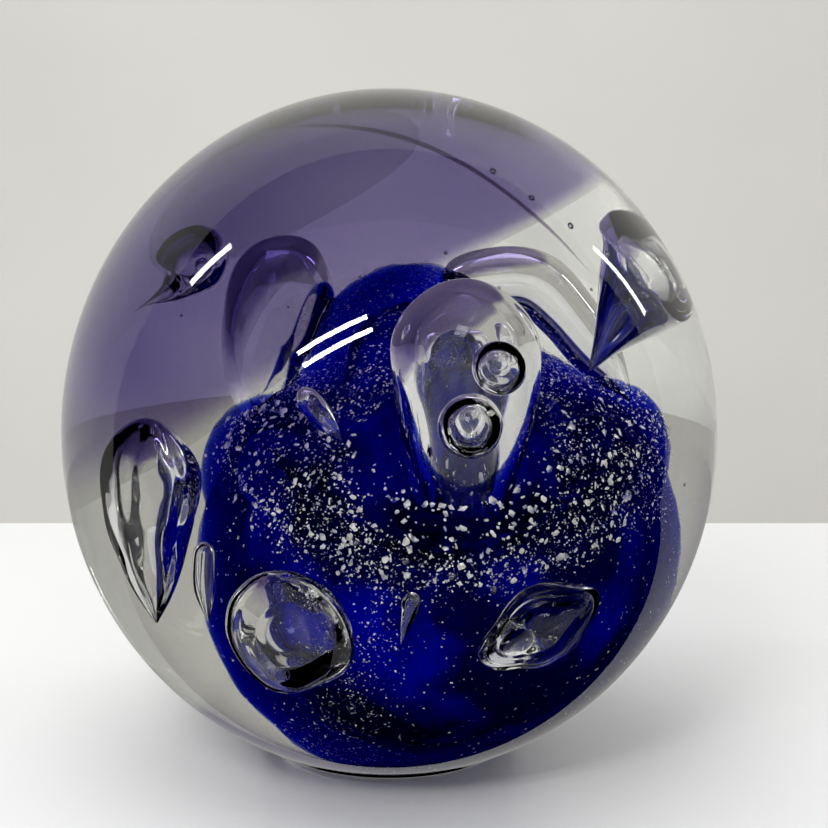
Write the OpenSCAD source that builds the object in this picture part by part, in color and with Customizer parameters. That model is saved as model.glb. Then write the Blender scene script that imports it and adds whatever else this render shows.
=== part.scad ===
/* [Ball] */
// Width of the ball at its widest
ball_w = 84; // [72:0.5:110]
// Height of the ball, from its ground base to its top
ball_h = 85.3; // [71:0.1:110]
// Width of the flat ground on the base
base_d = 30; // [20:0.5:38]
// Clear glass over the violet veil
outer_glass = 3.4; // [2:0.1:5]
// Thickness of the violet veil
veil_t = 1.1; // [0.6:0.1:2]

/* [Veil edge] */
// Height at which the edge of the veil crosses the middle of the ball
veil_edge_z = 53.6; // [40:0.1:60]
// Slope of the veil's edge across the ball, low on the left
veil_roll = 33; // [10:1:45]
// Slope of the veil's edge from front to back, low at the front
veil_pitch = 9; // [0:1:20]

/* [Cobalt core] */
// Width of the round body of the core
core_w = 42; // [34:0.5:51]
// Clear glass under the core
core_floor = 8.8; // [6:0.1:12]
// How far the core sits to the right of the ball's middle
core_right = 4.5; // [0:0.1:5]
// How far the core sits in front of the ball's middle
core_front = 2; // [0:0.1:4]
// Width of the mound on top
mound_w = 18; // [14:0.5:22]
// How far the mound stands above the round body
mound_rise = 5.2; // [2:0.1:8]
// Width of the lobe at each side
lobe_w = 15; // [12:0.5:18]
// Height of the right lobe's middle above the core's middle
right_lobe_up = 10.7; // [6:0.1:13]
// Height of the left lobe's middle above the core's middle
left_lobe_up = 9.2; // [5:0.1:12]
// Width of the hollow scooped from the upper front
hollow_w = 24; // [16:0.5:28]

/* [Rim] */
// Thickness of the rim around the front of the hollow
rim_t = 7.6; // [6:0.1:9]
// How far the rim stands out of the round body
rim_out = 1.3; // [0.5:0.1:3]
// Number of beads along the rim
rim_beads = 9; // [7:1:12]
// Angle that the rim covers
rim_arc = 130; // [100:1:150]
// Height of the rim's lowest point above the core's middle
rim_up = 5.2; // [2:0.1:8]
// Height that the rim gains towards each end
rim_lift = 8; // [4:0.5:11]

/* [Silver flecks] */
// Length of a fleck
fleck_l = 1.3; // [0.8:0.1:1.6]
// Width of a fleck
fleck_w = 0.9; // [0.6:0.1:1.2]
// Thickness of a fleck
fleck_t = 0.2; // [0.15:0.05:0.3]
// Glass over each fleck
fleck_cover = 0.5; // [0.4:0.1:0.9]
// Number of flecks in each bead of the rim
bead_flecks = 5; // [3:1:6]

/* [Central bubbles] */
// Width of the large bubble in the middle
center_w = 15; // [12:0.5:18]
// Height of its narrow foot above the core's middle
center_foot_up = 14.5; // [12.6:0.1:16.6]
// Width of its foot
center_foot_w = 9.5; // [7:0.5:11]
// Direction of the large bubble, where -90 is the front
center_turn = -65; // [-72:1:-58]
// Angle of the large bubble above the middle of the ball
center_rise = 36; // [30:1:42]
// Width of the round bubble in front of it
ring_w = 6; // [4:0.1:7]
// Glass between that and the large one
ring_gap = 1.3; // [0.6:0.1:2]
// Glass between the round bubble and the veil's layer
ring_cover = 1; // [0.6:0.1:3]
// Width of the second round bubble, below the first
pearl_w = 7; // [5:0.1:8]
// Glass between the two round bubbles
pearl_gap = 0.7; // [0.6:0.1:2]

/* [Front bubbles] */
// Width of the front left bubble
front_left_w = 14; // [11:0.5:16]
// Height of the front left bubble
front_left_h = 16.5; // [13:0.5:18]
// Direction of the front left bubble
front_left_turn = -112; // [-116:1:-108]
// Angle of the front left bubble, negative below the middle
front_left_rise = -29; // [-33:1:-25]
// Width of the front right bubble, tip to tip
front_right_w = 20; // [15:0.5:22]
// Direction of the front right bubble
front_right_turn = -53; // [-56:1:-50]
// Angle of the front right bubble, negative below the middle
front_right_rise = -27; // [-31:1:-24]
// How far the front right bubble leans up to the right
front_right_lean = 18; // [10:1:25]
// Depth of both front bubbles, towards the core
front_deep = 10.4; // [8:0.1:12]
// Glass between both front bubbles and the veil's layer
front_cover = 1.6; // [0.8:0.1:3]
// Width of the dent behind each, where the bubble was started
dent_w = 5; // [3:0.5:6]
// Length of the dent into the core
dent_l = 9; // [6:0.5:12]
// Width of the slim bubble beside the front left one
slim_w = 3; // [2:0.1:3.6]
// Height of the slim bubble
slim_h = 9.5; // [7:0.5:11]
// Glass between the slim bubble and the front left one
slim_gap = 1; // [0.6:0.1:2]

/* [Side and upper bubbles] */
// Width of the lilac bubble on the left side
side_w = 12; // [9:0.5:14]
// Direction of the side bubble
side_turn = -153; // [-158:1:-148]
// Angle of the side bubble's head
side_rise = -2; // [-6:1:4]
// Angle of the side bubble's pointed end
side_tip_rise = -31; // [-36:1:-26]
// Glass between the side bubble and the veil's layer
side_cover = 4.6; // [3:0.1:6]
// Width of the small bubble high on the left
high_w = 8.2; // [6:0.1:9]
// Direction of the small high bubble
high_turn = -158; // [-163:1:-150]
// Angle of the small high bubble above the middle
high_rise = 43; // [38:1:48]
// Glass between the small high bubble and the veil's layer
high_cover = 4.6; // [3:0.1:6]
// Length of the small high bubble's tail
high_tail = 7.5; // [5:0.5:9]
// Width of the clear teardrop high on the right
tear_w = 13.2; // [10:0.1:14.5]
// Direction of the teardrop
tear_turn = 9; // [4:1:14]
// Angle of the teardrop above the middle
tear_rise = 33; // [29:1:38]
// Glass between the teardrop and the veil's layer
tear_cover = 1.4; // [0.8:0.1:3]

/* [Back bubbles] */
// Width of the tall bubble behind the left of the mound
tall_w = 8.6; // [6:0.1:10]
// Length of the tall bubble
tall_l = 15; // [12:0.5:18]
// Width of the curved bubble behind the right of the mound
curl_w = 5.6; // [4:0.1:6.5]
// Reach of the curved bubble
curl_l = 19; // [15:0.5:22]
// Glass between the curved bubble and the teardrop, side to side
curl_gap = 4; // [2:0.1:5]

/* [Small bubbles] */
// Width of the drip under the rim
drip_w = 2; // [1.4:0.1:2.6]
// Length of the drip
drip_l = 6.5; // [4:0.5:8]
// Width of the bubble on the left shoulder
shoulder_w = 2.6; // [2:0.1:3.2]
// Length of the bubble on the left shoulder
shoulder_l = 7; // [5:0.5:8]
// Width of a seed bubble
seed_w = 0.8; // [0.5:0.1:1.2]

/* [Hidden] */
$fn = 64;

// The ball is an upright ellipsoid, cut flat at z = 0
ball_r = ball_w / 2;
flat_share = sqrt(1 - pow(base_d / ball_w, 2));
ball_up = ball_h / (1 + flat_share);
middle_z = ball_h - ball_up;
middle = [0, 0, middle_z];
veil_r = ball_r - outer_glass;
veil_up = ball_up - outer_glass;
inner_r = veil_r - veil_t;
inner_up = veil_up - veil_t;
huge = 2 * (ball_w + ball_h);

// Unit direction from the middle of the ball
function way(turn, rise) = [cos(turn) * cos(rise), sin(turn) * cos(rise), sin(rise)];
// Distance from the middle of the ball to the inner gather's surface
function reach(u) = 1 / sqrt((u.x * u.x + u.y * u.y) / pow(inner_r, 2) + pow(u.z / inner_up, 2));
// The point that lies a depth below the inner gather's surface
function below(turn, rise, depth) =
    let (u = way(turn, rise)) middle + u * (reach(u) - depth);
// The unit vector from one point to another
function towards(a, b) = (b - a) / norm(b - a);

core_r = core_w / 2;
core_at = [core_right, -core_front, core_floor + core_r];
mound_at = core_at + [-2.5, 5, core_r + mound_rise - mound_w / 2];
right_lobe_at = core_at + [core_r + 1 - lobe_w / 2, -3, right_lobe_up];
left_lobe_at = core_at + [lobe_w / 2 - core_r - 0.5, -3, left_lobe_up];
hollow_at = core_at + [2.5, 1 - core_r, rim_up + hollow_w / 2];
rim_r = core_r + rim_out - rim_t / 2;

center_cover = ring_cover + ring_w + ring_gap;
center_at = below(center_turn, center_rise, center_cover + center_w / 2);
center_foot_at = [center_at.x - 0.5, center_at.y, core_at.z + center_foot_up];
center_root_at = core_at + [1.5, -7, 8];
ring_at = center_at + way(center_turn - 5, 5) * (center_w / 2 + ring_gap + ring_w / 2);
pearl_at = ring_at + way(-171, -63) * (ring_w / 2 + pearl_gap + pearl_w / 2);

front_depth = front_cover + front_deep / 2;
front_left_at = below(front_left_turn, front_left_rise, front_depth);
front_right_at = below(front_right_turn, front_right_rise, front_depth);
front_left_across = [-sin(front_left_turn), cos(front_left_turn), 0];
front_right_across = [-sin(front_right_turn), cos(front_right_turn), 0];
slim_at = front_left_at - front_left_across * (front_left_w / 2 + slim_gap + slim_w / 2) + [0, 0, 4.5];

side_at = below(side_turn, side_rise, side_cover + side_w / 2);
side_tip_at = below(side_turn, side_tip_rise, side_cover + 2);
high_at = below(high_turn, high_rise, high_cover + high_w / 2);
high_tip_at = high_at + way(-172, -38) * high_tail;
tear_at = below(tear_turn, tear_rise, tear_cover + tear_w / 2);
tear_tip_at = right_lobe_at + [-1.5, 6, lobe_w / 2 - 0.5];

tall_top_at = mound_at + [-mound_w / 2 - 1.5, 3, 6];
tall_foot_r = tall_w * 0.35;
tall_foot_at = tall_top_at + way(-125, -68) * (tall_l - tall_w / 2 - tall_foot_r);
tall_root_at = core_at + [-10, 3, 12];
curl_at = mound_at + [4.5, 5, 4.8];
curl_crown_at = [tear_at.x - tear_w / 2 - curl_gap - curl_w / 2, curl_at.y, curl_at.z + 1];

drip_at = below(-86, -19, 5);
shoulder_at = left_lobe_at + [2.5, -6, 8];

// An upright ellipsoid about the ball's middle, turned from a fine elliptical outline
module ellipsoid(r, up) {
    steps = 60;
    outline = [for (i = [0:steps]) [r * sin(180 * i / steps), -up * cos(180 * i / steps)]];
    translate(middle) rotate_extrude() polygon(outline);
}

// A ball that narrows to a second, smaller ball, with a straight flank between them
module drop(a, r1, b, r2) {
    span = norm(b - a);
    lean = asin((r1 - r2) / span);
    along = towards(a, b);
    inset = 0.985;
    translate(a)
        rotate([0, acos(along.z), atan2(along.y, along.x)]) {
            sphere(r1);
            translate([0, 0, r1 * sin(lean)])
                cylinder(h = span - (r1 - r2) * sin(lean),
                    r1 = r1 * cos(lean) * inset, r2 = r2 * cos(lean) * inset);
            translate([0, 0, span]) sphere(r2);
        }
}

module above_veil_edge() {
    translate([0, 0, veil_edge_z])
        rotate([-veil_pitch, -veil_roll, 0])
            translate([-huge / 2, -huge / 2, 0]) cube(huge);
}

module outer_gather() {
    color("whitesmoke", 0.3)
        difference() {
            ellipsoid(ball_r, ball_up);
            translate([-huge / 2, -huge / 2, -huge]) cube(huge);
            ellipsoid(inner_r, inner_up);
            intersection() {
                ellipsoid(veil_r, veil_up);
                above_veil_edge();
            }
        }
}

module amethyst_veil() {
    color("mediumpurple", 0.6)
        difference() {
            intersection() {
                ellipsoid(veil_r, veil_up);
                above_veil_edge();
            }
            ellipsoid(inner_r, inner_up);
        }
}

module inner_gather() {
    color("ivory", 0.3)
        difference() {
            ellipsoid(inner_r, inner_up);
            core_blank();
            bubbles();
        }
}

// Place of one bead of the rim, counted from the left end
function bead_at(i) =
    let (share = 2 * i / (rim_beads - 1) - 1)
    let (angle = share * rim_arc / 2 - 85)
    core_at + [rim_r * cos(angle), rim_r * sin(angle), rim_up + rim_lift * share * share];

module rim() {
    for (i = [0:rim_beads - 1])
        translate(bead_at(i)) sphere(rim_t / 2);
}

// The core before the bubbles and the flecks are let into it
module core_blank() {
    difference() {
        translate(core_at) sphere(core_r);
        translate(hollow_at) sphere(hollow_w / 2);
    }
    drop(mound_at, mound_w / 2, core_at, mound_w / 2 - 1);
    drop(right_lobe_at, lobe_w / 2, core_at, lobe_w / 2 - 1);
    drop(left_lobe_at, lobe_w / 2, core_at, lobe_w / 2 - 1);
    rim();
}

module cobalt_core() {
    color("mediumblue")
        difference() {
            core_blank();
            bubbles();
            flecks();
        }
}

// Flecks spread over the outward side of each bead, under its surface
module flecks() {
    golden = 137.5;
    sink = rim_t / 2 - fleck_cover - fleck_t;
    for (i = [0:rim_beads - 1])
        for (k = [0:bead_flecks - 1])
            let (out = bead_at(i) - core_at)
            let (spread = 18 + 34 * sqrt(k / bead_flecks))
            translate(bead_at(i))
                rotate([0, 0, atan2(out.y, out.x)])
                    rotate([golden * (k + 2 * i), 0, 0])
                        rotate([0, 90 - spread, 0])
                            translate([0, 0, sink])
                                rotate([0, 0, golden * k])
                                    cube([fleck_l, fleck_w, fleck_t], center = true);
}

module silver_flecks() {
    color("silver") flecks();
}

module bubbles() {
    air_center();
    air_ring();
    air_pearl();
    air_front_left();
    air_slim();
    air_front_right();
    air_side();
    air_high();
    air_tear();
    air_tall();
    air_curl();
    air_drip();
    air_shoulder();
    air_seeds();
}

module air_center() {
    drop(center_at, center_w / 2, center_foot_at, center_foot_w / 2);
    drop(center_foot_at, center_foot_w / 2 - 0.4, center_root_at, 1.5);
}

module air_ring() {
    translate(ring_at) sphere(ring_w / 2);
}

module air_pearl() {
    translate(pearl_at) sphere(pearl_w / 2);
}

// The dent runs from a front bubble towards the middle of the core
module dent(p) {
    drop(p, dent_w / 2, p + towards(p, core_at) * dent_l, 1);
}

// Blunt at the top, it narrows to the right and to a point below
module air_front_left() {
    lobe = front_deep / 2;
    small = lobe - 1.6;
    upper = front_left_at + front_left_across * (lobe - front_left_w / 2)
        + [0, 0, front_left_h / 2 - lobe];
    right = front_left_at + front_left_across * (front_left_w / 2 - small) - [0, 0, 0.5];
    lower = front_left_at + [0, 0, small - front_left_h / 2];
    drop(upper, lobe, lower, small);
    drop(upper, lobe - 0.3, right, small - 0.3);
    dent(upper);
}

module air_slim() {
    half = [0, 0, slim_h / 2 - slim_w / 2];
    drop(slim_at - half, slim_w / 2, slim_at + half, slim_w / 2 - 0.3);
}

// A full middle that runs out to a narrow tip on each side
module air_front_right() {
    tip_r = 1.4;
    along = front_right_across * cos(front_right_lean) + [0, 0, sin(front_right_lean)];
    drop(front_right_at, front_deep / 2, front_right_at + along * (front_right_w / 2 - tip_r), tip_r);
    drop(front_right_at, front_deep / 2 - 0.2, front_right_at - along * (front_right_w / 2 - tip_r), tip_r);
    dent(front_right_at);
}

module air_side() {
    drop(side_at, side_w / 2, side_tip_at, 1);
}

module air_high() {
    drop(high_at, high_w / 2, high_tip_at, 0.3);
}

module air_tear() {
    drop(tear_at, tear_w / 2, tear_tip_at, 0.4);
}

module air_tall() {
    drop(tall_top_at, tall_w / 2, tall_foot_at, tall_foot_r);
    drop(tall_foot_at, tall_foot_r - 0.4, tall_root_at, 1);
}

// The curved bubble is a chain of three straight stretches, from the mound to the right shoulder
module air_curl() {
    crown_r = curl_w / 2;
    bend_r = crown_r - 0.4;
    tail_r = crown_r - 1.2;
    bend = curl_crown_at + curl_l * [0.17, 0, -0.2];
    tail = bend + curl_l * [0.18, 0.05, -0.3];
    drop(curl_crown_at, crown_r, curl_at, bend_r);
    drop(curl_crown_at, crown_r - 0.1, bend, bend_r);
    drop(bend, bend_r - 0.1, tail, tail_r);
}

module air_drip() {
    drop(drip_at, drip_w / 2, drip_at - [1, 0, drip_l - drip_w], drip_w * 0.35);
}

module air_shoulder() {
    drop(shoulder_at, shoulder_w / 2, shoulder_at + way(-35, -48) * (shoulder_l - shoulder_w), 0.7);
}

// Air gives way to any fleck that reaches it
module around_flecks() {
    difference() {
        children();
        flecks();
    }
}

// Seeds are strung around the ball in two loose rows
module air_seeds() {
    for (i = [0:4])
        translate(below(-50 + 7 * i, 62 - 7 * i, 1.5 + 0.4 * i)) sphere(seed_w / 2);
    for (i = [0:3])
        translate(below(-96 + 9 * i, -6 - 4 * i, 3 + 0.8 * i)) sphere(seed_w * 0.8);
}

module bubble_center() {
    color("lavender", 0.4) air_center();
}
module bubble_center_ring() {
    color("lavender", 0.4) air_ring();
}
module bubble_center_pearl() {
    color("lavender", 0.4) air_pearl();
}
module bubble_front_left() {
    color("lavender", 0.4) around_flecks() air_front_left();
}
module bubble_front_left_slim() {
    color("lavender", 0.4) air_slim();
}
module bubble_front_right() {
    color("lavender", 0.4) around_flecks() air_front_right();
}
module bubble_side_left() {
    color("thistle", 0.4) around_flecks() air_side();
}
module bubble_upper_left() {
    color("thistle", 0.4) air_high();
}
module bubble_upper_right() {
    color("lavender", 0.4) air_tear();
}
module bubble_back_left() {
    color("thistle", 0.4) air_tall();
}
module bubble_back_right() {
    color("lavender", 0.4) air_curl();
}
module bubble_drip() {
    color("lavender", 0.4) around_flecks() air_drip();
}
module bubble_shoulder() {
    color("lavender", 0.4) air_shoulder();
}
module seed_bubbles() {
    color("lavender", 0.4) air_seeds();
}

outer_gather();
amethyst_veil();
inner_gather();
cobalt_core();
silver_flecks();
bubble_center();
bubble_center_ring();
bubble_center_pearl();
bubble_front_left();
bubble_front_left_slim();
bubble_front_right();
bubble_side_left();
bubble_upper_left();
bubble_upper_right();
bubble_back_left();
bubble_back_right();
bubble_drip();
bubble_shoulder();
seed_bubbles();
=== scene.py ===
import math
import random
import bmesh
import bpy
import numpy as np
from mathutils import Matrix, Vector, noise


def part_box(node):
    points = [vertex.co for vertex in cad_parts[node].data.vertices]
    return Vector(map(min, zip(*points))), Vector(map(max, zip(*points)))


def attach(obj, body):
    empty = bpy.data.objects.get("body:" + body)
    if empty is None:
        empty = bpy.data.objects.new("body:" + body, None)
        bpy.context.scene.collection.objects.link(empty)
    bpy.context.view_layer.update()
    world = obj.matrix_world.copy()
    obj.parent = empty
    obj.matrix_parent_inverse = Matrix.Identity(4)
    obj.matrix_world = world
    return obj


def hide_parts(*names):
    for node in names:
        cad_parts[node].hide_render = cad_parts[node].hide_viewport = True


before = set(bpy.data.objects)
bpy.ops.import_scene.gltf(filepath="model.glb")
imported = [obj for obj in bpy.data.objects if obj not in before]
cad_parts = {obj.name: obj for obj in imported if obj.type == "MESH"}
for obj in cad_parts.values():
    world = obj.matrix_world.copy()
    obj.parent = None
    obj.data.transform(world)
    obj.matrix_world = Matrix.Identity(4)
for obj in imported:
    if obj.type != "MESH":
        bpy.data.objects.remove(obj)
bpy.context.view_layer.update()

MM = 0.001
GLASS_IOR = 1.5
GAP = 0.12 * MM
# How fast the corners of a pod's section fade along it
CORNER_FADE = 1.35
# The pieces stand this share inside the CAD's surfaces
BALL_INSIDE = 0.999
INNER_INSIDE = 0.998
# The drawn base lies this far above the floor
BASE_UP = 0.02 * MM
BASE_BEVEL = 0.8 * MM
# The heart lies this deep under the core's skin, and its dents are this much wider
HEART_DEPTH = 3.2 * MM
HEART_GAP = 0.9 * MM
SKIN_GRAIN = 0.42
HEART_GRAIN = 0.35
CORE_LEVEL = 6
FLECK_COUNT = 760
DUST_COUNT = 12000
SEED_COUNT = 46
PIP_R = 0.38 * MM
CORD_R = 0.34 * MM
CORD_LIFT = 0.55 * MM


# ---------------------------------------------------------------- places, taken from the frame
class Box:
    """The box of a CAD node, with points in it given as shares from its low corner to its high one."""

    def __init__(self, node):
        low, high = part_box(node)
        self.low, self.high = Vector(low), Vector(high)
        self.size = self.high - self.low
        self.middle = (self.low + self.high) / 2

    def spot(self, x, y, z):
        return self.low + Vector((x * self.size.x, y * self.size.y, z * self.size.z))


BALL = Box("outer_gather")
INNER = Box("inner_gather")
CORE = Box("cobalt_core")
BALL_R = BALL.size.x / 2
INNER_R = INNER.size.x / 2
INNER_UP = INNER.size.z / 2
MIDDLE = Vector((0, 0, INNER.middle.z))
BALL_UP = BALL.high.z - MIDDLE.z

# The round body of the core stands on its lowest point, and its lobes reach out of it
BODY_R = 21 * MM
BODY = Vector((CORE.low.x + 21.5 * MM, CORE.high.y - BODY_R, CORE.low.z + BODY_R))
MOUND_R = 9 * MM
MOUND = Vector((BODY.x - 2.5 * MM, BODY.y + 5 * MM, CORE.high.z - MOUND_R))
LOBE_R = 7.5 * MM
RIGHT_LOBE = BODY + Vector((14.5, -3, 10.7)) * MM
LEFT_LOBE = BODY + Vector((-14, -3, 9.2)) * MM
HOLLOW = BODY + Vector((2.5, -20, 17.2)) * MM
HOLLOW_R = 12 * MM
RIM_R = 3.8 * MM
RIM_OUT = 18.5 * MM
RIM_UP = 5.2 * MM
RIM_LIFT = 8 * MM
RIM_HALF_ARC = 65
RIM_TURN = -85


def rim_point(share):
    """A point on the rim's centre line, from -1 at the left end to 1 at the right end."""
    a = math.radians(RIM_TURN + share * RIM_HALF_ARC)
    return BODY + Vector((RIM_OUT * math.cos(a), RIM_OUT * math.sin(a), RIM_UP + RIM_LIFT * share * share))


# ---------------------------------------------------------------- mesh work
def add_mesh(name, points, faces, smooth=True):
    mesh = bpy.data.meshes.new(name)
    mesh.from_pydata([tuple(p) for p in points], [], faces)
    bm = bmesh.new()
    bm.from_mesh(mesh)
    bmesh.ops.recalc_face_normals(bm, faces=bm.faces)
    bm.to_mesh(mesh)
    bm.free()
    mesh.polygons.foreach_set("use_smooth", [smooth] * len(mesh.polygons))
    piece = bpy.data.objects.new(name, mesh)
    bpy.context.scene.collection.objects.link(piece)
    return piece


def ring_faces(rings, around):
    """Quads between rings of points, with a fan at each end; the two end points come last."""
    faces = []
    for i in range(rings - 1):
        for k in range(around):
            a, b = i * around + k, i * around + (k + 1) % around
            faces.append((a, b, b + around, a + around))
    first, last = rings * around, rings * around + 1
    top = (rings - 1) * around
    for k in range(around):
        n = (k + 1) % around
        faces.append((first, n, k))
        faces.append((last, top + k, top + n))
    return faces


def turned(name, outline, around=256):
    """A closed shape turned about the row's Z axis from (radius, height) points, the end ones on the axis."""
    points = []
    for r, z in outline[1:-1]:
        for k in range(around):
            a = 2 * math.pi * k / around
            points.append(Vector((r * math.cos(a), r * math.sin(a), z)))
    points += [Vector((0, 0, outline[0][1])), Vector((0, 0, outline[-1][1]))]
    return add_mesh(name, points, ring_faces(len(outline) - 2, around))


def spline(points, t):
    """Catmull-Rom through the points, t from 0 to 1."""
    n = len(points) - 1
    f = min(max(t, 0.0), 1.0) * n
    i = min(int(f), n - 1)
    u = f - i
    p1, p2 = points[i], points[i + 1]
    p0 = points[i - 1] if i else p1 + (p1 - p2)
    p3 = points[i + 2] if i + 2 <= n else p2 + (p2 - p1)
    return 0.5 * (2 * p1 + (p2 - p0) * u + (2 * p0 - 5 * p1 + 4 * p2 - p3) * u * u
                  + (3 * p1 - p0 - 3 * p2 + p3) * u * u * u)


def pod(name, spine, radii, across=None, corners=(), flat=1.0, rough=0.0, seed=0.0, blunt=0.0,
        around=72, rings=96):
    """A closed pod of air along a spine, with radii from end to end.

    across is the direction of the section's first axis; corners are (degrees, reach, width in degrees)
    points or flats of the section, which fade out towards the far end; flat squeezes the other axis;
    blunt is the share of the length over which the first end is rounded off."""
    radii = [Vector((r, 0, 0)) for r in radii]
    points = []
    side = None
    for i in range(rings):
        t = 0.5 - 0.5 * math.cos(math.pi * (i + 0.5) / rings)
        here = spline(spine, t)
        along = (spline(spine, min(t + 0.01, 1)) - spline(spine, max(t - 0.01, 0))).normalized()
        if side is None:
            side = Vector(across) if across else along.orthogonal()
        side = (side - along * side.dot(along)).normalized()
        other = side.cross(along)
        r = max(spline(radii, t).x, 0.02 * MM)
        if t < blunt:
            r *= math.sqrt(1 - (1 - t / blunt) ** 2)
        fade = min(CORNER_FADE * (1 - t), 1)
        for k in range(around):
            degrees = 360 * k / around
            bulge = 1.0
            for centre, reach, width in corners:
                off = (degrees - centre + 180) % 360 - 180
                bulge += fade * reach * math.exp(-(off / width) ** 2)
            a = math.radians(degrees)
            d = side * (math.cos(a) * bulge) + other * (math.sin(a) * bulge * flat)
            if rough:
                d *= 1 + rough * noise.noise(d * 1.5 + Vector((seed, t * 4, 0)))
            points.append(here + d * r)
    points += [spline(spine, 0), spline(spine, 1)]
    return add_mesh(name, points, ring_faces(rings, around))


# ---------------------------------------------------------------- materials
def new_material(name):
    m = bpy.data.materials.new(name)
    m.use_nodes = True
    return m, m.node_tree, m.node_tree.nodes["Principled BSDF"]


def absorbing(tree, colour, density):
    volume = tree.nodes.new("ShaderNodeVolumeAbsorption")
    volume.inputs["Color"].default_value = (*colour, 1)
    volume.inputs["Density"].default_value = density
    tree.links.new(volume.outputs[0], tree.nodes["Material Output"].inputs["Volume"])


def glass(name, ior, colour, density):
    """Clear glass that colours the light by how far it travels inside."""
    m, tree, shader = new_material(name)
    shader.inputs["Roughness"].default_value = 0.0
    shader.inputs["IOR"].default_value = ior
    shader.inputs["Transmission Weight"].default_value = 1.0
    absorbing(tree, colour, density)
    return m


def trapped_air():
    """The wall of a bubble, seen from the glass: light passes from glass to air."""
    m = bpy.data.materials.new("trapped_air")
    m.use_nodes = True
    tree = m.node_tree
    tree.nodes.remove(tree.nodes["Principled BSDF"])
    shader = tree.nodes.new("ShaderNodeBsdfGlass")
    shader.inputs["IOR"].default_value = 1 / GLASS_IOR
    shader.inputs["Roughness"].default_value = 0
    tree.links.new(shader.outputs[0], tree.nodes["Material Output"].inputs["Surface"])
    return m


def mottled(name, dark, light, scale, rough, metal=0.0, low=0.4, high=0.65, bump=0.0):
    """Two colours mixed by noise in the piece's own space, with a fine bump from the same noise."""
    m, tree, shader = new_material(name)
    place = tree.nodes.new("ShaderNodeTexCoord")
    grain = tree.nodes.new("ShaderNodeTexNoise")
    grain.inputs["Scale"].default_value = scale
    grain.inputs["Detail"].default_value = 6
    ramp = tree.nodes.new("ShaderNodeValToRGB")
    ramp.color_ramp.elements[0].position = low
    ramp.color_ramp.elements[0].color = (*dark, 1)
    ramp.color_ramp.elements[1].position = high
    ramp.color_ramp.elements[1].color = (*light, 1)
    tree.links.new(place.outputs["Object"], grain.inputs["Vector"])
    tree.links.new(grain.outputs["Fac"], ramp.inputs["Fac"])
    tree.links.new(ramp.outputs["Color"], shader.inputs["Base Color"])
    if bump:
        raised = tree.nodes.new("ShaderNodeBump")
        raised.inputs["Strength"].default_value = bump
        raised.inputs["Distance"].default_value = 0.3 * MM
        tree.links.new(grain.outputs["Fac"], raised.inputs["Height"])
        tree.links.new(raised.outputs["Normal"], shader.inputs["Normal"])
    shader.inputs["Roughness"].default_value = rough
    shader.inputs["Metallic"].default_value = metal
    return m


# ---------------------------------------------------------------- the ball
def ball_outline(r, up, floor_z, bevel, steps=150):
    """Half outline of the ball, from its top to the middle of its flat ground base."""
    end = math.acos((floor_z + bevel - MIDDLE.z) / up)
    outline = []
    for i in range(steps + 1):
        a = end * i / steps
        outline.append((r * math.sin(a), MIDDLE.z + up * math.cos(a)))
    rim = outline[-1][0]
    for share, lift in ((0.985, 0.5), (0.962, 0.17), (0.935, 0.03), (0.9, 0.0), (0.5, 0.0), (0, 0.0)):
        outline.append((rim * share, floor_z + bevel * lift))
    return outline


def make_ball():
    outline = ball_outline(BALL_R * BALL_INSIDE, BALL_UP * BALL_INSIDE, BASE_UP, BASE_BEVEL)
    piece = turned("outer_gather", outline)
    piece.data.materials.append(glass("clear_crystal", GLASS_IOR, (0.83, 0.85, 0.3), 1.2))
    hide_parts("outer_gather")
    return piece


def make_inner_gather():
    """The first gather, of the same glass, so its wall hardly bends the light."""
    steps = 120
    outline = []
    for i in range(steps + 1):
        a = math.pi * i / steps
        up = MIDDLE.z + INNER_UP * INNER_INSIDE * math.cos(a)
        outline.append((INNER_R * INNER_INSIDE * math.sin(a), up))
    piece = turned("inner_gather", outline, around=192)
    piece.data.materials.append(glass("inner_crystal", 1.002, (0.8, 0.85, 0.4), 0.6))
    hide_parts("inner_gather")
    return piece


# ---------------------------------------------------------------- the veil
VEIL_EDGE_Z = 53.6 * MM
VEIL_ROLL = math.radians(33)
VEIL_PITCH = math.radians(9)
VEIL_UP = (Matrix.Rotation(-VEIL_ROLL, 3, "Y") @ Matrix.Rotation(-VEIL_PITCH, 3, "X")) @ Vector((0, 0, 1))
VEIL_POINT = Vector((0, 0, VEIL_EDGE_Z))
VEIL_T = 1.05 * MM
# How steeply the veil thins at its edge: crisp at the front right, soft at the back and left
VEIL_CRISP = 26
VEIL_SOFT = 2.6
VEIL_CRISP_TURN = math.radians(35)


def on_shell(way, lift):
    """The point on the inner gather's surface in that direction, raised by lift."""
    grow = lift + 0.02 * MM
    r, up = INNER_R + grow, INNER_UP + grow
    reach = 1 / math.sqrt((way.x ** 2 + way.y ** 2) / r ** 2 + way.z ** 2 / up ** 2)
    return MIDDLE + way * reach


def edge_angle(turn, side, front):
    """The angle from the veil's middle at which its shell meets the plane of its edge."""
    low, high = 0.0, math.pi
    for _ in range(40):
        mid = (low + high) / 2
        way = VEIL_UP * math.cos(mid) + (side * math.cos(turn) + front * math.sin(turn)) * math.sin(mid)
        if (on_shell(way, 0) - VEIL_POINT).dot(VEIL_UP) > 0:
            low = mid
        else:
            high = mid
    return low


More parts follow.
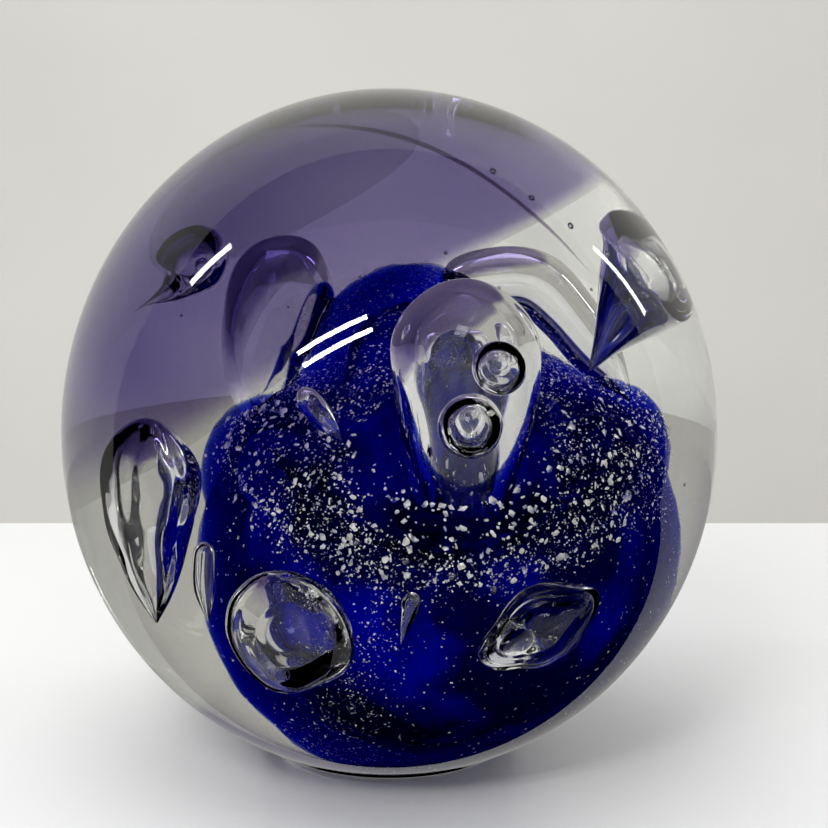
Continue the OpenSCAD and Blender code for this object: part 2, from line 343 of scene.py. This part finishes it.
def make_veil():
    """A thin skin over the upper left, thickest there and thinning towards its edge and low down."""
    side = Vector((0, 1, 0)).cross(VEIL_UP).normalized()
    front = VEIL_UP.cross(side)
    rings, around = 130, 240
    upper, lower = [], []
    edges = [edge_angle(2 * math.pi * k / around, side, front) for k in range(around)]
    for i in range(1, rings + 1):
        share = i / rings
        for k in range(around):
            turn = 2 * math.pi * k / around
            wave = noise.noise(Vector((math.cos(turn) * 1.3, math.sin(turn) * 1.3, 4.0)))
            angle = share * edges[k] * (0.955 + 0.035 * wave)
            around_way = side * math.cos(turn) + front * math.sin(turn)
            way = VEIL_UP * math.cos(angle) + around_way * math.sin(angle)
            here = on_shell(way, 0)
            streak = noise.noise(Vector((way.x * 2.2, way.y * 2.2, way.z * 3.5)))
            left = 0.5 - 0.5 * here.x / INNER_R
            depth = 0.52 + 0.46 * left + 0.16 * streak
            lift = min(max((here.z - VEIL_POINT.z + 19 * MM) / (20 * MM), 0), 1)
            depth *= 0.10 + 0.90 * lift
            softness = 0.5 - 0.5 * math.cos(turn + VEIL_CRISP_TURN)
            steepness = VEIL_CRISP - (VEIL_CRISP - VEIL_SOFT) * softness ** 0.5
            lip = min((1 - share) * steepness, 1)
            depth = depth * lip * lip * (3 - 2 * lip)
            lower.append(here)
            upper.append(on_shell(way, min(depth, 1) * VEIL_T))
    crown = on_shell(VEIL_UP, 0)
    points = upper + lower[:-around] + [on_shell(VEIL_UP, VEIL_T * 0.6), crown]
    faces = []
    top, base = rings * around, rings * around + (rings - 1) * around
    for i in range(rings - 1):
        for k in range(around):
            n = (k + 1) % around
            faces.append((i * around + k, (i + 1) * around + k, (i + 1) * around + n, i * around + n))
            a = top + i * around
            outer = (i + 1) * around if i == rings - 2 else a + around
            faces.append((a + k, a + n, outer + n, outer + k))
    for k in range(around):
        n = (k + 1) % around
        faces.append((base, k, n))
        faces.append((base + 1, top + n, top + k))
    piece = add_mesh("amethyst_veil", points, faces)
    piece.data.materials.append(glass("amethyst", 1.0, (0.13, 0.0, 0.53), 1450.0))
    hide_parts("amethyst_veil")
    return piece


def make_veil_cord(name, route, r, colour, density):
    """A thin drawn line of glass that lies along the veil's layer."""
    spine = [on_shell((Vector(p) * MM - MIDDLE).normalized(), CORD_LIFT) for p in route]
    piece = pod(name, spine, [0.1 * r, r, r * 1.25, r, r * 0.8, 0.1 * r], around=14, rings=160, flat=0.7)
    piece.data.materials.append(glass(name + "_glass", 1.0, colour, density))
    return piece


# ---------------------------------------------------------------- the core
def smooth_min(a, b, k):
    h = np.clip(0.5 + 0.5 * (b - a) / k, 0, 1)
    return b * (1 - h) + a * h - k * h * (1 - h)


def to_ball(p, centre, r):
    return np.linalg.norm(p - np.array(centre), axis=1) - r


def to_cone(p, a, ra, b, rb):
    a, b = np.array(a), np.array(b)
    t = np.clip(((p - a) @ (b - a)) / ((b - a) @ (b - a)), 0, 1)
    return np.linalg.norm(p - a - t[:, None] * (b - a), axis=1) - (ra + (rb - ra) * t)


def to_core(p):
    """Distance from the core's surface, before its dents."""
    d = np.maximum(to_ball(p, BODY, BODY_R * 0.99), -to_ball(p, HOLLOW, HOLLOW_R))
    d = smooth_min(d, to_cone(p, MOUND, MOUND_R * 0.98, BODY, MOUND_R), 2.0 * MM)
    for lobe in (RIGHT_LOBE, LEFT_LOBE):
        d = smooth_min(d, to_cone(p, lobe, LOBE_R * 0.97, BODY, LOBE_R), 1.5 * MM)
    for i in range(25):
        d = smooth_min(d, to_ball(p, rim_point(i / 12 - 1), RIM_R * 0.97), 1.2 * MM)
    return d


def core_reach(ways, shrink=0.0):
    """How far the core's surface lies from its middle, found by walking in along each direction."""
    reach = np.full(len(ways), 34.0 * MM)
    for _ in range(90):
        reach = np.maximum(reach - 0.6 * (to_core(np.array(BODY) + ways * reach[:, None]) + shrink), 3 * MM)
    return reach


def lumps(p):
    """Rough sandy grain, strongest on the mound, the shoulders and the rim."""
    q = Vector(p) / MM
    rough = min(max((q.z - BODY.z / MM - 1) / 9, 0.15), 1)
    fine = 0.5 * noise.noise(q * 1.7) + 0.35 * noise.noise(q * 3.3)
    return 0.9 * noise.noise(q * 0.22) + 0.45 * noise.noise(q * 0.6) + rough * fine


def make_core_skin(name, shrink, level, grain):
    bm = bmesh.new()
    bmesh.ops.create_icosphere(bm, subdivisions=level, radius=1.0)
    mesh = bpy.data.meshes.new(name)
    bm.to_mesh(mesh)
    bm.free()
    ways = np.empty(len(mesh.vertices) * 3)
    mesh.vertices.foreach_get("co", ways)
    ways = ways.reshape(-1, 3)
    reach = core_reach(ways, shrink)
    p = np.array(BODY) + ways * reach[:, None]
    reach += grain * MM * np.array([lumps(q) for q in p])
    mesh.vertices.foreach_set("co", (np.array(BODY) + ways * reach[:, None]).ravel())
    mesh.polygons.foreach_set("use_smooth", [True] * len(mesh.polygons))
    piece = bpy.data.objects.new(name, mesh)
    bpy.context.scene.collection.objects.link(piece)
    return piece


def cut(piece, cutters, swell):
    """Takes the cutters, swollen by a small gap, out of the piece."""
    for c in cutters:
        tool = c.copy()
        tool.data = c.data.copy()
        bpy.context.scene.collection.objects.link(tool)
        for v, out in zip(tool.data.vertices, [x.normal.copy() for x in tool.data.vertices]):
            v.co += out * swell
        m = piece.modifiers.new("dent", "BOOLEAN")
        m.operation = "DIFFERENCE"
        m.solver = "MANIFOLD"
        m.object = tool
        bpy.context.view_layer.objects.active = piece
        bpy.ops.object.modifier_apply(modifier=m.name)
        bpy.data.objects.remove(tool)


def make_core(dents):
    skin = make_core_skin("cobalt_core", 0.0, CORE_LEVEL, SKIN_GRAIN)
    skin.data.materials.append(glass("cobalt", 1.0, (0.0, 0.14, 0.88), 760.0))
    cut(skin, dents, GAP)
    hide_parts("cobalt_core")
    heart = make_core_skin("cobalt_heart", HEART_DEPTH, CORE_LEVEL, HEART_GRAIN)
    navy, royal = (0.003, 0.004, 0.10), (0.02, 0.08, 1.0)
    blue = mottled("cobalt_heart", navy, royal, 80, 0.35, low=0.45, high=0.62, bump=0.4)
    heart.data.materials.append(blue)
    cut(heart, dents, GAP + HEART_GAP)
    return [skin, heart]


# ---------------------------------------------------------------- flecks and dust
def shard(points, faces, centre, out, length, rng):
    """A flat angular flake with a ridge: an irregular six-sided outline between two close points."""
    side = out.orthogonal().normalized()
    side.rotate(Matrix.Rotation(rng.uniform(0, 2 * math.pi), 3, out))
    tilt = out + Vector((rng.uniform(-1, 1), rng.uniform(-1, 1), rng.uniform(-1, 1))) * 0.45
    tilt.normalize()
    side = (side - tilt * side.dot(tilt)).normalized()
    other = tilt.cross(side)
    width = rng.uniform(0.45, 0.95)
    n = rng.choice((4, 5, 6))
    first = len(points)
    start = rng.uniform(0, math.pi)
    for k in range(n):
        a = start + 2 * math.pi * (k + rng.uniform(-0.25, 0.25)) / n
        r = length / 2 * rng.uniform(0.65, 1.0)
        points.append(centre + side * (r * math.cos(a)) + other * (r * width * math.sin(a)))
    thick = length * 0.13
    points += [centre + tilt * thick, centre - tilt * thick]
    for k in range(n):
        m = (k + 1) % n
        faces.append((first + k, first + m, first + n))
        faces.append((first + m, first + k, first + n + 1))


def scatter(name, count, size, dense, seed, depth):
    """Flakes in the core's skin, kept where dense(direction, point) beats a random draw."""
    rng = random.Random(seed)
    ways = []
    while len(ways) < count * 14:
        v = Vector((rng.gauss(0, 1), rng.gauss(0, 1), rng.gauss(0, 1)))
        if v.length > 0.01:
            ways.append(v.normalized())
    array = np.array([tuple(w) for w in ways])
    reach = core_reach(array)
    points, faces, made = [], [], 0
    for way, r in zip(ways, reach):
        here = BODY + way * float(r)
        if made == count:
            break
        if rng.random() > dense(here):
            continue
        here -= way * (rng.uniform(*depth) * MM)
        length = size[0] + (size[1] - size[0]) * rng.random() ** 2.2
        shard(points, faces, here, way.copy(), length * MM, rng)
        made += 1
    return add_mesh(name, points, faces, smooth=False)


def near_rim(p):
    """How close a point lies to the rim's band of flecks, from 0 to 1."""
    near = min((p - rim_point(s / 10)).length for s in range(-10, 11))
    return math.exp(-((near - RIM_R) / (2.2 * MM)) ** 2)


def streak(p):
    """A thin curtain of dust that hangs below the rim at the front, drifting left as it falls."""
    drop = (BODY.z + RIM_UP - p.z) / MM
    if drop < 0 or p.y > BODY.y:
        return 0.0
    off = (p.x - BODY.x) / MM + 3.5 + 0.28 * drop
    return 0.55 * math.exp(-(off / (1.4 + 0.1 * drop)) ** 2)


def fleck_density(p):
    upper = 1.0 if p.z > BODY.z + 1 * MM else 0.05
    return near_rim(p) * upper


def dust_density(p):
    lift = (p.z - BODY.z) / MM
    if (p - HOLLOW).length < HOLLOW_R + 0.6 * MM:
        return 0.03
    mound = 0.85 if lift > 16 else 0.0
    lobes = 0.4 * math.exp(-(((p - RIGHT_LOBE).length - LOBE_R) / (2 * MM)) ** 2)
    return min(0.07 + 0.75 * near_rim(p) + mound + lobes + streak(p), 1)


# ---------------------------------------------------------------- build the object
air = trapped_air()
pods = {}


def bubble(node, shares, radii, **more):
    """Air that stands for a CAD node: its spine is given in shares of the node's box, its radii in mm."""
    box = Box(node)
    piece = pod(node, [box.spot(*s) for s in shares], [r * MM for r in radii], **more)
    piece.data.materials.append(air)
    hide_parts(node)
    pods[node] = piece


def make_bubbles():
    across = (1, 0, 0)
    bubble("bubble_center",
           [(0.50, 0.40, 0.99), (0.50, 0.42, 0.83), (0.50, 0.44, 0.66), (0.49, 0.46, 0.48),
            (0.47, 0.50, 0.29), (0.45, 0.55, 0.07)],
           [6.0, 7.0, 7.5, 7.0, 6.0, 4.6], across=across, flat=0.92, blunt=0.34, rough=0.04, seed=2)
    bubble("bubble_center_ring",
           [(0.5, 0.02, 0.5), (0.5, 0.14, 0.5), (0.5, 0.32, 0.5), (0.5, 0.48, 0.5),
            (0.5, 0.58, 0.49), (0.5, 0.68, 0.48), (0.5, 0.78, 0.48), (0.5, 0.88, 0.47),
            (0.5, 0.98, 0.47)],
           [1.7, 2.4, 2.9, 2.9, 1.9, 2.1, 1.2, 1.2, 0], across=across, blunt=0.16)
    bubble("bubble_center_pearl",
           [(0.5, 0.02, 0.5), (0.5, 0.25, 0.5), (0.5, 0.5, 0.5), (0.5, 0.75, 0.5),
            (0.5, 0.98, 0.5)],
           [3.0, 3.2, 3.4, 3.0, 0], across=across, blunt=0.4, rough=0.03, seed=3)
    bubble("bubble_front_left",
           [(0.47, 0.01, 0.48), (0.47, 0.07, 0.48), (0.47, 0.13, 0.48), (0.47, 0.19, 0.48),
            (0.47, 0.25, 0.48), (0.48, 0.29, 0.48), (0.49, 0.44, 0.46), (0.51, 0.60, 0.44),
            (0.55, 0.80, 0.42), (0.60, 0.99, 0.42)],
           [3.2, 4.1, 5.0, 5.9, 6.7, 6.5, 4.4, 2.6, 2.3, 0], across=across, flat=1.06, blunt=0.06,
           corners=((-12, 0.14, 30), (258, 0.10, 26), (90, 0.08, 40), (180, 0.03, 30)), rough=0.05, seed=5)
    bubble("bubble_front_left_slim",
           [(0.6, 0.5, 1.0), (0.5, 0.5, 0.75), (0.45, 0.5, 0.4), (0.5, 0.5, 0.0)],
           [1.2, 1.4, 1.3, 0], across=across, blunt=0.2)
    bubble("bubble_front_right",
           [(0.48, 0.01, 0.38), (0.48, 0.07, 0.38), (0.48, 0.13, 0.38), (0.48, 0.19, 0.39),
            (0.49, 0.25, 0.39), (0.50, 0.29, 0.40), (0.52, 0.44, 0.42), (0.55, 0.60, 0.44),
            (0.58, 0.80, 0.45), (0.62, 0.99, 0.46)],
           [2.6, 3.3, 4.0, 4.7, 5.4, 5.2, 3.7, 2.3, 2.0, 0], across=(math.cos(0.42), 0, math.sin(0.42)),
           corners=((2, 0.60, 26), (182, 0.66, 26)), flat=0.98, blunt=0.06, rough=0.04, seed=8)
    bubble("bubble_side_left",
           [(0.52, 0.50, 0.98), (0.50, 0.50, 0.82), (0.49, 0.50, 0.66), (0.48, 0.50, 0.50),
            (0.50, 0.48, 0.33), (0.51, 0.47, 0.16), (0.52, 0.45, 0.01)],
           [5.0, 5.8, 5.8, 5.2, 3.9, 2.4, 0.2], across=across, blunt=0.3, rough=0.13, seed=11,
           corners=((235, -0.16, 16), (305, -0.13, 14)))
    bubble("bubble_upper_left",
           [(0.66, 0.5, 0.98), (0.64, 0.5, 0.72), (0.60, 0.5, 0.44), (0.46, 0.48, 0.20),
            (0.22, 0.45, 0.08), (0.0, 0.4, 0.0)],
           [3.4, 4.1, 4.0, 1.5, 0.3, 0], across=across, blunt=0.3, rough=0.05, seed=14)
    bubble("bubble_upper_right",
           [(0.66, 0.58, 0.88), (0.60, 0.53, 0.73), (0.51, 0.47, 0.56), (0.34, 0.40, 0.37),
            (0.16, 0.28, 0.17), (0.02, 0.2, 0.0)],
           [5.8, 6.9, 6.5, 4.4, 1.7, 0], across=across, blunt=0.38)
    bubble("bubble_back_left",
           [(0.70, 0.72, 0.98), (0.54, 0.62, 0.82), (0.40, 0.5, 0.62), (0.28, 0.38, 0.40),
            (0.34, 0.32, 0.18), (0.6, 0.3, 0.0)],
           [3.6, 4.3, 4.3, 3.6, 2.5, 0.2], across=across, blunt=0.3, rough=0.05, seed=17)
    bubble("bubble_back_right",
           [(0.02, 0.5, 0.72), (0.22, 0.5, 0.80), (0.48, 0.5, 0.80), (0.66, 0.5, 0.60),
            (0.82, 0.52, 0.32), (0.97, 0.6, 0.04)],
           [2.2, 2.8, 2.8, 2.5, 2.0, 0.2], across=(0, 1, 0), blunt=0.12)
    bubble("bubble_drip",
           [(0.7, 0.5, 1.0), (0.68, 0.5, 0.7), (0.45, 0.5, 0.35), (0.3, 0.5, 0.0)],
           [0.8, 0.95, 0.55, 0], across=across, blunt=0.2, rough=0.2, seed=20)
    bubble("bubble_shoulder",
           [(0.0, 0.9, 1.0), (0.25, 0.75, 0.75), (0.6, 0.45, 0.4), (1.0, 0.1, 0.0)],
           [0.8, 1.25, 1.0, 0], across=across, blunt=0.2)


def make_seeds():
    """Tiny bubbles: the CAD node's nine, each a rounded pip, and a sprinkling of finer ones near them."""
    rng = random.Random(71)
    bm = bmesh.new()
    groups = []
    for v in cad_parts["seed_bubbles"].data.vertices:
        near = [g for g in groups if (g[0] - v.co).length < 1.5 * MM]
        if near:
            near[0].append(v.co.copy())
        else:
            groups.append([v.co.copy()])
    places = [sum(g, Vector()) / len(g) for g in groups]
    sizes = [PIP_R] * len(places)
    while len(sizes) < SEED_COUNT:
        way = Vector((rng.uniform(-0.8, 0.9), rng.uniform(-1, 0.6), rng.uniform(-0.1, 1))).normalized()
        places.append(MIDDLE + way * (INNER_R * rng.uniform(0.82, 0.97)))
        sizes.append(rng.uniform(0.07, 0.22) * MM)
    for p, r in zip(places, sizes):
        made = bmesh.ops.create_icosphere(bm, subdivisions=3, radius=r)
        bmesh.ops.scale(bm, vec=(1, 1, rng.uniform(0.8, 1.25)), verts=made["verts"])
        bmesh.ops.translate(bm, vec=p, verts=made["verts"])
    mesh = bpy.data.meshes.new("seed_bubbles")
    bm.to_mesh(mesh)
    bm.free()
    mesh.polygons.foreach_set("use_smooth", [True] * len(mesh.polygons))
    piece = bpy.data.objects.new("seed_bubbles", mesh)
    bpy.context.scene.collection.objects.link(piece)
    piece.data.materials.append(air)
    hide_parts("seed_bubbles")
    return piece


make_bubbles()
DENTS = ("bubble_center", "bubble_front_left", "bubble_front_right", "bubble_back_left",
         "bubble_back_right", "bubble_shoulder", "bubble_side_left", "bubble_upper_right")
pieces = list(pods.values()) + [make_ball(), make_inner_gather(), make_veil(), make_seeds()]
CORD_ROUTE = [(-13.6, -4.8, 77.1), (-6, -9, 78), (1.6, -12.7, 77.8), (9.1, -16.2, 74.9),
              (16.7, -19.1, 69.5), (21.7, -20.2, 64.3)]
pieces.append(make_veil_cord("veil_cord", CORD_ROUTE, CORD_R, (0.25, 0.1, 0.35), 2600.0))
pieces += make_core([pods[k] for k in DENTS])

silver = mottled("silver_mica", (0.72, 0.71, 0.66), (1.0, 0.99, 0.94), 900, 0.35, metal=0.3)
flecks = scatter("silver_flecks", FLECK_COUNT, (0.26, 1.2), fleck_density, 5, (-0.22, 0.12))
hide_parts("silver_flecks")
dust = scatter("silver_dust", DUST_COUNT, (0.09, 0.42), dust_density, 9, (-0.3, 0.25))
for piece in (flecks, dust):
    piece.data.materials.append(silver)
    pieces.append(piece)

# ---------------------------------------------------------------- stage
TABLE_BACK = 0.1
TABLE_HALF = 1.5
TABLE_ROUND = 0.012
TABLE_THICK = 0.05
STAGE_HALF = 3
FLOOR_Z = -0.25
WALL_BACK = 0.9
edge = TABLE_BACK + TABLE_ROUND
table = add_mesh("table", [(-TABLE_HALF, -TABLE_HALF, 0), (TABLE_HALF, -TABLE_HALF, 0),
                           (TABLE_HALF, TABLE_BACK, 0), (-TABLE_HALF, TABLE_BACK, 0),
                           (TABLE_HALF, edge, -TABLE_ROUND), (-TABLE_HALF, edge, -TABLE_ROUND),
                           (TABLE_HALF, edge, -TABLE_THICK), (-TABLE_HALF, edge, -TABLE_THICK)],
                 [(0, 1, 2, 3), (3, 2, 4, 5), (5, 4, 6, 7)])
for f in table.data.polygons:
    if f.normal.z < -0.1 or f.normal.y < -0.1:
        f.flip()
WHITE = ((0.80, 0.80, 0.79), (0.86, 0.86, 0.85))
table.data.materials.append(mottled("white_table", *WHITE, 3, 0.3))
floor_front = TABLE_BACK + 0.02
lower = add_mesh("lower_floor", [(-STAGE_HALF, floor_front, FLOOR_Z), (STAGE_HALF, floor_front, FLOOR_Z),
                                 (STAGE_HALF, WALL_BACK, FLOOR_Z), (-STAGE_HALF, WALL_BACK, FLOOR_Z)],
                 [(0, 1, 2, 3)], smooth=False)
lower.data.materials.append(mottled("white_floor", *WHITE, 3, 0.6))
wall = add_mesh("wall", [(-STAGE_HALF, WALL_BACK, -1), (STAGE_HALF, WALL_BACK, -1),
                         (STAGE_HALF, WALL_BACK, 2), (-STAGE_HALF, WALL_BACK, 2)],
                [(0, 1, 2, 3)], smooth=False)
wall.data.materials.append(mottled("wall", (0.47, 0.46, 0.42), (0.52, 0.51, 0.47), 2, 0.9))
for ground in (table, lower):
    ground.visible_glossy = False

world = bpy.data.worlds.new("room")
bpy.context.scene.world = world
world.use_nodes = True
world.node_tree.nodes["Background"].inputs["Color"].default_value = (0.93, 0.94, 1.0, 1)
world.node_tree.nodes["Background"].inputs["Strength"].default_value = 1.0
world.cycles_visibility.glossy = False


def area(name, place, look, size, size_y, power, hidden=False):
    light = bpy.data.lights.new(name, "AREA")
    light.shape = "RECTANGLE"
    light.size, light.size_y, light.energy = size, size_y, power
    o = bpy.data.objects.new(name, light)
    o.location = place
    o.rotation_euler = (Vector(look) - Vector(place)).to_track_quat("-Z", "Y").to_euler()
    o.visible_glossy = not hidden
    bpy.context.scene.collection.objects.link(o)
    return o


area("overhead", (-0.2, 0.1, 1.3), (0, 0, 0), 1.2, 1.0, 8, hidden=True)
area("key", (-0.5, -0.85, 1.0), (0, 0, 0), 0.5, 0.5, 6, hidden=True)
area("left_strip", (-0.9, 0.10, 0.80), MIDDLE, 0.05, 0.28, 0.9)
area("right_strip", (0.8, 0.35, 0.45), MIDDLE, 0.03, 0.30, 0.5)

# ---------------------------------------------------------------- camera
ELEVATION = math.radians(14)
DISTANCE = 0.300
FIELD = math.radians(20.2)
camera = bpy.data.cameras.new("camera")
camera.sensor_width = 36
camera.lens = camera.sensor_width / (2 * math.tan(FIELD / 2))
camera.shift_x = 0.03
camera.shift_y = 0.023
viewer = bpy.data.objects.new("camera", camera)
back = Vector((0, -math.cos(ELEVATION), math.sin(ELEVATION)))
viewer.location = MIDDLE + back * DISTANCE
viewer.rotation_euler = (math.pi / 2 - ELEVATION, 0, 0)
bpy.context.scene.collection.objects.link(viewer)
bpy.context.scene.camera = viewer

# Two tubes over the viewer's left shoulder give the pair of bright bars on the glass
upward = Vector((1, 0, 0)).cross(-back).normalized()
toward = Vector((-0.30, 0, 0)) + upward * 0.43 + back * 0.85
TUBE_DISTANCE = 1.4
TUBE_APART = 0.11
tube_turn = Matrix.Rotation(math.radians(36), 4, "Z")
for k, gap in enumerate((-TUBE_APART / 2, TUBE_APART / 2)):
    tube = area(f"tube_{k}", MIDDLE + toward * TUBE_DISTANCE, MIDDLE, 0.6, 0.035, 5)
    bpy.context.view_layer.update()
    tube.matrix_world = tube.matrix_world @ tube_turn @ Matrix.Translation((0, gap, 0))

# ---------------------------------------------------------------- light paths
scene = bpy.context.scene
scene.view_settings.view_transform = "Standard"
scene.cycles.use_denoising = True
scene.cycles.max_bounces = 32
scene.cycles.transmission_bounces = 32
scene.cycles.transparent_max_bounces = 32
scene.cycles.sample_clamp_indirect = 6
scene.cycles.blur_glossy = 0.5

for piece in pieces:
    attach(piece, "root")
